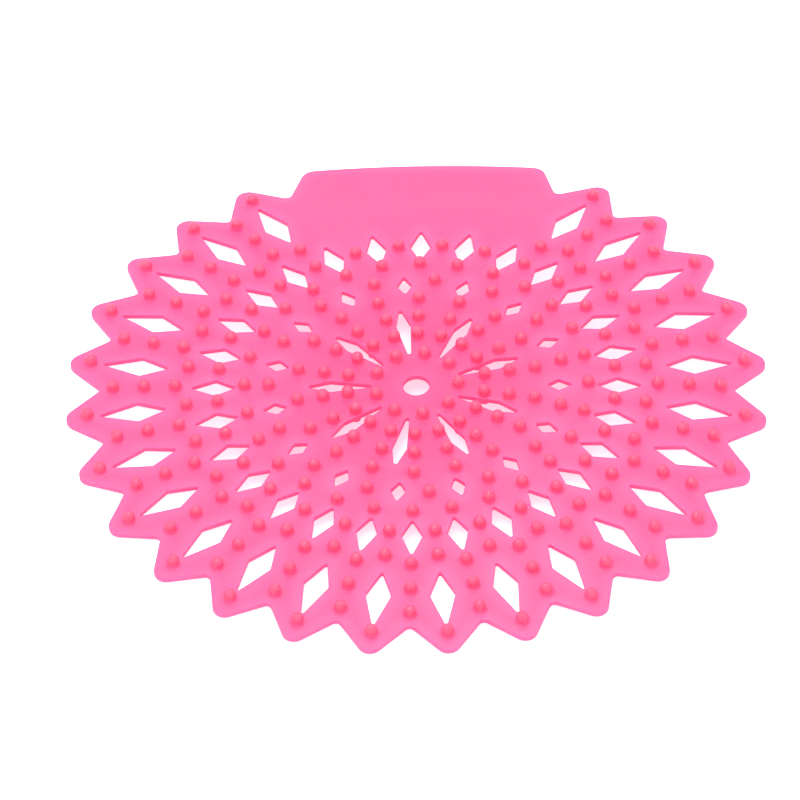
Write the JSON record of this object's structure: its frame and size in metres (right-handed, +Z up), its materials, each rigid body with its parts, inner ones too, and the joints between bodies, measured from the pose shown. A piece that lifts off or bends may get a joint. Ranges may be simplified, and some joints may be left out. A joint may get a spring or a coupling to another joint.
{
  "type": "urinal deodorizer screen",
  "caption": "Soft round drain screen with a pointed rim, kite-shaped openings in rings round a centre hole, bristle pegs on both faces and a plain handling tab.",
  "frame": {"origin": "on the floor the screen rests on, under the middle of its bounding box", "axes": "+X across the screen along its widest line, +Y from the centre hole towards the handling tab, +Z up out of the upper face"},
  "size_m": [0.1886, 0.1856, 0.0102],
  "materials": {
    "eva": "soft translucent pink moulding with a satin skin"
  },
  "bodies": {
    "root": {"screen": "eva"}
  },
  "joints": []
}
